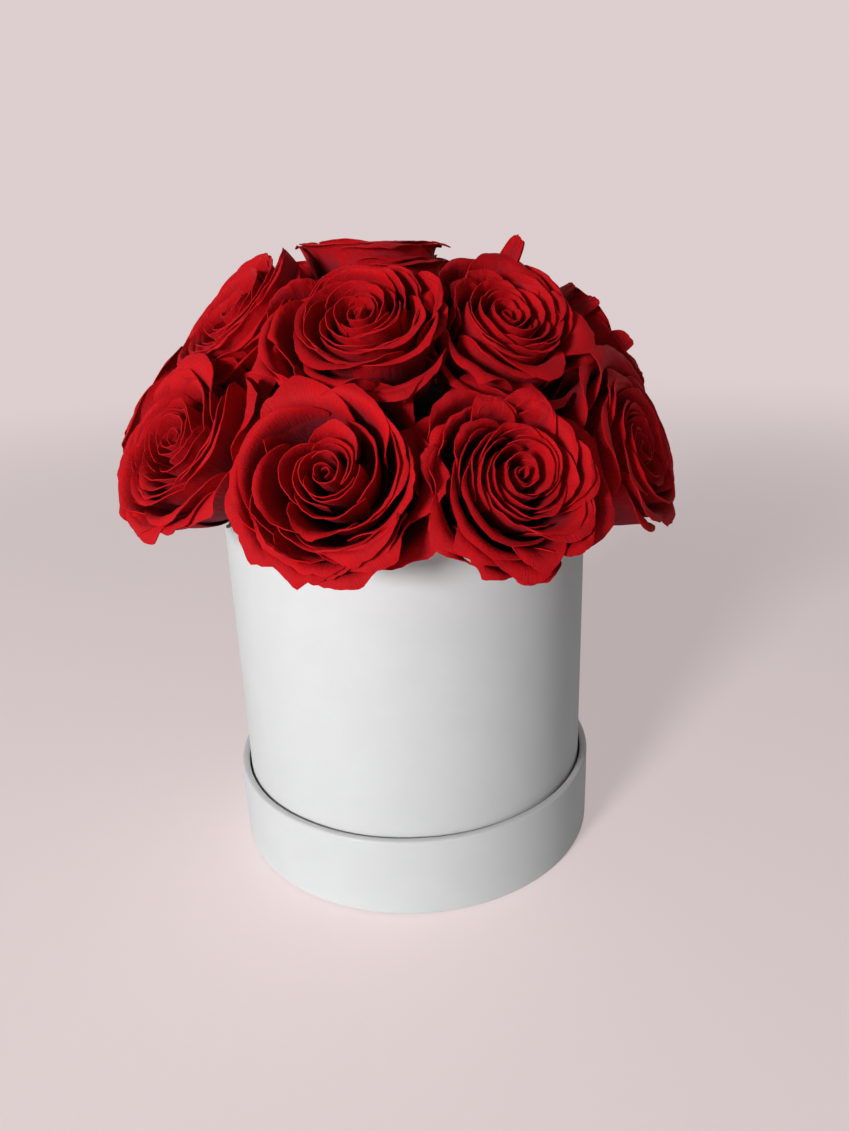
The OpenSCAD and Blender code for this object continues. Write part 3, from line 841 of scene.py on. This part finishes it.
RIGHT_BACK = [
    (166, 24.0, 30, 1.0, 2), (140, 27.0, 26, 1.0, 4), (192, 27.0, 26, 1.0, 5), (160, 30.0, 24, 1.0, 7),
    (215, 27.0, 22, 1.0, 3), (178, 29.0, 20, 1.0, 5), (112, 25.0, 12, 0.5, -1), (136, 25.0, 10, 0.5, -2),
    (158, 26.0, 11, 0.5, 0), (176, 25.0, 10, 0.5, -2), (200, 26.0, 12, 0.5, -1), (222, 25.0, 11, 0.5, -1),
    (205, 30.0, 28, 2.0, 12), (128, 30.0, 28, 2.0, 12), (110, 36.0, 34, 4.0, 8), (75, 36.0, 34, 4.0, 8),
    (40, 34.0, 34, 4.0, 6),
]
BACK_LOW = [(232, 31.5, 34, 5.0, 1), (270, 32.5, 34, 5.0, 2), (308, 31.5, 34, 5.0, 1)]
GOLDEN_ANGLE = 180 * (3 - math.sqrt(5))
RULED_HEART = [(0, 1.3, 150, 0.2), (140, 2.5, 120, 0.3), (275, 3.7, 105, 0.5), (50, 5.0, 95, 0.6)]
RULED_COUNT = 18
RULED_REACH = 6.0, 27.0
RULED_HALF = 80, 42
RULED_LIP = 1.0, 5.0
TURN_CHANCE = -18, 18
REACH_CHANCE = 0.95, 1.05
HALF_CHANCE = 0.85, 1.15
LIP_CHANCE = 0.35, 1.6
NEST_REACH = 8.0, 27.5
NEST_SHARE = 0.4
NEST_STEP = 1.3, 2.4
NEST_TURN = -25, 25
NEST_HALF = 0.8, 1.05
NEST_LIP = 0.3, 0.8
NEST_SEED = 100
GUARD_COUNT = 7
GUARD_REACH = 31.0
GUARD_HANG = 10.0
GUARD_STEP = -0.2, 0.2
GUARD_EDGE = -1.5, 1.5
GUARD_HALF = 27, 34
GUARD_LIP = 3, 6


def ruled_petals(seed, start=0):
    """Petals by the golden angle, the first of them turned to the start angle."""
    chance = np.random.default_rng(seed)
    rows = [(turn + start, *rest) for turn, *rest in RULED_HEART]
    for k in range(RULED_COUNT):
        t = k / (RULED_COUNT - 1)
        turn = start + k * GOLDEN_ANGLE + chance.uniform(*TURN_CHANCE)
        reach = mix(*RULED_REACH, t ** 0.9) * chance.uniform(*REACH_CHANCE)
        half = mix(*RULED_HALF, t ** 0.5) * chance.uniform(*HALF_CHANCE)
        rows.append((turn, reach, half, mix(*RULED_LIP, t) * chance.uniform(*LIP_CHANCE)))
    return rows


def nested(rows, seed):
    """Adds a second, narrower petal close inside some of the petals, so that lips run in pairs."""
    chance = np.random.default_rng(seed + NEST_SEED)
    full = []
    for row in rows:
        turn, reach, half, lip, *drop = row
        if NEST_REACH[0] < reach < NEST_REACH[1] and chance.random() < NEST_SHARE:
            inside = reach - chance.uniform(*NEST_STEP)
            aside = turn + chance.uniform(*NEST_TURN)
            narrow = half * chance.uniform(*NEST_HALF)
            full.append((aside, inside, narrow, lip * chance.uniform(*NEST_LIP), *drop))
        full.append(row)
    return full


def guard_petals(seed, reach, upper):
    """A ring of guard petals that hang lowest on the upper side, where no box rim is in their way."""
    chance = np.random.default_rng(seed)
    rows = []
    for k in range(GUARD_COUNT):
        turn = (k + chance.uniform(*GUARD_STEP)) * 360 / GUARD_COUNT
        drop = GUARD_HANG * (1 + math.sin(math.radians(turn))) / 2
        edge = mix(reach, upper, drop / GUARD_HANG) + chance.uniform(*GUARD_EDGE)
        rows.append((turn, edge, chance.uniform(*GUARD_HALF), chance.uniform(*GUARD_LIP), drop))
    return rows


def petal_points(name, rows):
    """A mesh with one loose point for each petal, which carries the petal's row."""
    mesh = bpy.data.meshes.new(name)
    mesh.from_pydata([(0, 0, 0)] * len(rows), [], [])
    full_rows = [row + (0,) * (len(PETAL_ROW) - len(row)) for row in rows]
    for label, values in zip(PETAL_ROW, zip(*full_rows)):
        mesh.attributes.new(label, "FLOAT", "POINT").data.foreach_set("value", values)
    return mesh


# %% [markdown]
# No florist sets roses at exact angles. Each rose stays on its pick, but it may be turned on it (spin,
# degrees), lean or sway to one side (mm at the heart) or be pulled out (mm). The table gives these for the
# roses that the camera sees, with their set petals, petals that are added to them (more), and how far their
# guard petals reach below and above (guard, upper). A rose that isn't in the table follows the rule, turned
# by its own number.

# %% Roses
BACK_TURN = 77
HIP_FOOT = 13.0
HEART = 27.0
ROSES = {
    1: dict(lean=(-3, 0, 0), sway=(-10, 0, -1), more=TOP_FRONT, guard=27),
    2: dict(lean=(-2, -1, -4), petals=MIDDLE_CENTRE, upper=20),
    3: dict(lean=(-9, -4, -5), petals=MIDDLE_RIGHT, upper=30),
    4: dict(lean=(11, -3, -1), sway=(12, 0, -8), pull=2, more=RIGHT_BACK, guard=28),
    7: dict(lean=(-4, -7, -6), pull=2, more=LEFT_BACK, guard=27, upper=22),
    8: dict(lean=(0, -1, -1), petals=FRONT_LEFT, guard=28.5),
    9: dict(lean=(-4, -3, 0), petals=FRONT_RIGHT, guard=28.5),
    10: dict(spin=-30, lean=(-2, -4, -1), more=RIGHT_TOP, guard=27.5),
    16: dict(lean=(2, -2, 0), petals=LEFT),
}


def lean_matrix(place, lean, sway):
    """Moves a rose's heart by the given millimetres and keeps the foot of its hip on the pick.

    Lean turns the whole rose about the foot. Sway slants it, so that its face keeps its direction.
    """
    foot = place @ Vector((0, 0, -HIP_FOOT * MM))
    heart = place @ Vector((0, 0, HEART * MM))
    leaned = heart + Vector(lean) * MM - foot
    turn = (heart - foot).rotation_difference(leaned).to_matrix()
    slant = Matrix(np.eye(3) + np.outer(Vector(sway) * MM, leaned) / leaned.length_squared)
    return Matrix.Translation(foot) @ (slant @ turn).to_4x4() @ Matrix.Translation(-foot)


def set_rose(number, spin=0, lean=(0, 0, 0), sway=(0, 0, 0), pull=0, petals=None, more=(),
             guard=GUARD_REACH, upper=GUARD_REACH):
    rose = f"rose_{number:02d}"
    place = rose_place(rose)
    turned = Matrix.Translation((0, 0, pull * MM)) @ Matrix.Rotation(math.radians(spin), 4, "Z")
    place = lean_matrix(place, lean, sway) @ place @ turned
    rows = nested(petals or ruled_petals(number), number) + list(more) + guard_petals(number, guard, upper)
    start = petal_points(rose + "_rows", rows)
    bloom = baked(ROSE, rose + "_petals", start, Seed=number, Material=petal_finish)
    hip = baked(HIP, rose + "_hip", Seed=number, Material=sepal_finish)
    for piece, node, slot in ((bloom, "_bloom", "petal"), (hip, "_calyx", "sepal")):
        piece.data.transform(place)
        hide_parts(rose + node)
        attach(piece, "box")
    return sum(2 * len(piece.data.polygons) for piece in (bloom, hip))


triangles = 0
for number in range(1, ROSE_COUNT + 1):
    choice = ROSES.get(number) or dict(petals=ruled_petals(number, number * BACK_TURN), more=BACK_LOW)
    triangles += set_rose(number, **choice)
print("roses:", ROSE_COUNT, "triangles:", triangles)

# %% [markdown]
# The studio is a plain pale floor under soft light. One lamp stands to the left of the camera, low enough to
# reach into the blooms, and the world fills the shadows: evenly all round, and with a low, broad glow from
# behind, so that the back can be seen too. Only the camera sees the floor's own tint, lifted towards white,
# so it stays pale without more light on the object. What it throws back onto the white box is neutral.

# %% Floor, lamp and world
BACKDROP = (0.72, 0.62, 0.62, 1)
BOUNCE = (0.95, 0.95, 0.95, 1)
FLOOR_RADIUS = 8.0
FLOOR_CORNERS = 96
FLOOR_FADE = 0.3, 1.4
FLOOR_GLOW = 0.55
KEY_TURN = math.radians(-34)
KEY_RISE = math.radians(13)
KEY_AIM = Vector((0, 0, 0.12))
KEY_DISTANCE = 1.6
KEY_SIZE = 0.36
KEY_LEVEL = 0.79
FILL_LEVEL = 0.12
BACK_LEVEL = 1.5
BACK_SIDES = 0.4, 0.9
BACK_TOP = 0.35


def floor_finish():
    material = bpy.data.materials.new("pale floor")
    material.use_nodes = True
    tree = material.node_tree
    tree.nodes.clear()
    place = add_node(tree, "ShaderNodeSeparateXYZ", {0: object_place(tree)})
    across = Field(tree, place.outputs[0])
    deep = Field(tree, place.outputs[1])
    far = ramp(tree, *FLOOR_FADE, (across * across + deep * deep) ** 0.5)
    matt = add_node(tree, "ShaderNodeBsdfDiffuse", {"Color": BACKDROP}).outputs[0]
    grey = add_node(tree, "ShaderNodeBsdfDiffuse", {"Color": BOUNCE}).outputs[0]
    glow = add_node(tree, "ShaderNodeEmission", {"Color": BACKDROP, "Strength": FLOOR_GLOW}).outputs[0]
    near = add_node(tree, "ShaderNodeAddShader", {0: matt, 1: glow}).outputs[0]
    plain = add_node(tree, "ShaderNodeEmission", {"Color": BACKDROP, "Strength": 1.0}).outputs[0]
    seen = add_node(tree, "ShaderNodeMixShader", {0: far, 1: near, 2: plain}).outputs[0]
    ray = Field(tree, add_node(tree, "ShaderNodeLightPath").outputs["Is Camera Ray"])
    both = add_node(tree, "ShaderNodeMixShader", {0: ray, 1: grey, 2: seen}).outputs[0]
    add_node(tree, "ShaderNodeOutputMaterial", {0: both})
    return material


bpy.ops.mesh.primitive_circle_add(
    vertices=FLOOR_CORNERS, radius=FLOOR_RADIUS, fill_type="NGON", location=(0, 0, 0))
floor = bpy.context.object
floor.name = "floor"
floor.data.materials.append(floor_finish())

key = bpy.data.objects.new("key lamp", bpy.data.lights.new("key lamp", "AREA"))
key.data.shape = "DISK"
key.data.size = KEY_SIZE
key.data.energy = KEY_LEVEL * (math.pi * KEY_DISTANCE) ** 2
level_way = Vector((math.sin(KEY_TURN), -math.cos(KEY_TURN), 0))
towards = level_way * math.cos(KEY_RISE) + Vector((0, 0, math.sin(KEY_RISE)))
key.location = KEY_AIM + towards * KEY_DISTANCE
key.rotation_euler = (-towards).to_track_quat("-Z", "Y").to_euler()
scene.collection.objects.link(key)


def set_world():
    world = bpy.data.worlds.new("studio")
    world.use_nodes = True
    scene.world = world
    tree = world.node_tree
    tree.nodes.clear()
    path = add_node(tree, "ShaderNodeLightPath")
    seen = calc(tree, "MAXIMUM", path.outputs["Is Camera Ray"], path.outputs["Is Glossy Ray"])
    way = add_node(tree, "ShaderNodeTexCoord").outputs["Generated"]
    sky = add_node(tree, "ShaderNodeSeparateXYZ", {0: way})
    behind = ramp(tree, *BACK_SIDES, sky.outputs[1]) * ramp(tree, BACK_TOP, 0.0, sky.outputs[2])
    level = behind * BACK_LEVEL + FILL_LEVEL
    fill = add_node(tree, "ShaderNodeBackground", {"Color": (1, 1, 1, 1), "Strength": level}).outputs[0]
    plain = add_node(tree, "ShaderNodeBackground", {"Color": BACKDROP, "Strength": 1.0}).outputs[0]
    both = add_node(tree, "ShaderNodeMixShader", {0: seen, 1: fill, 2: plain}).outputs[0]
    add_node(tree, "ShaderNodeOutputWorld", {0: both})


set_world()
scene.view_settings.view_transform = "Standard"
print("key lamp at", [round(c, 2) for c in key.location])
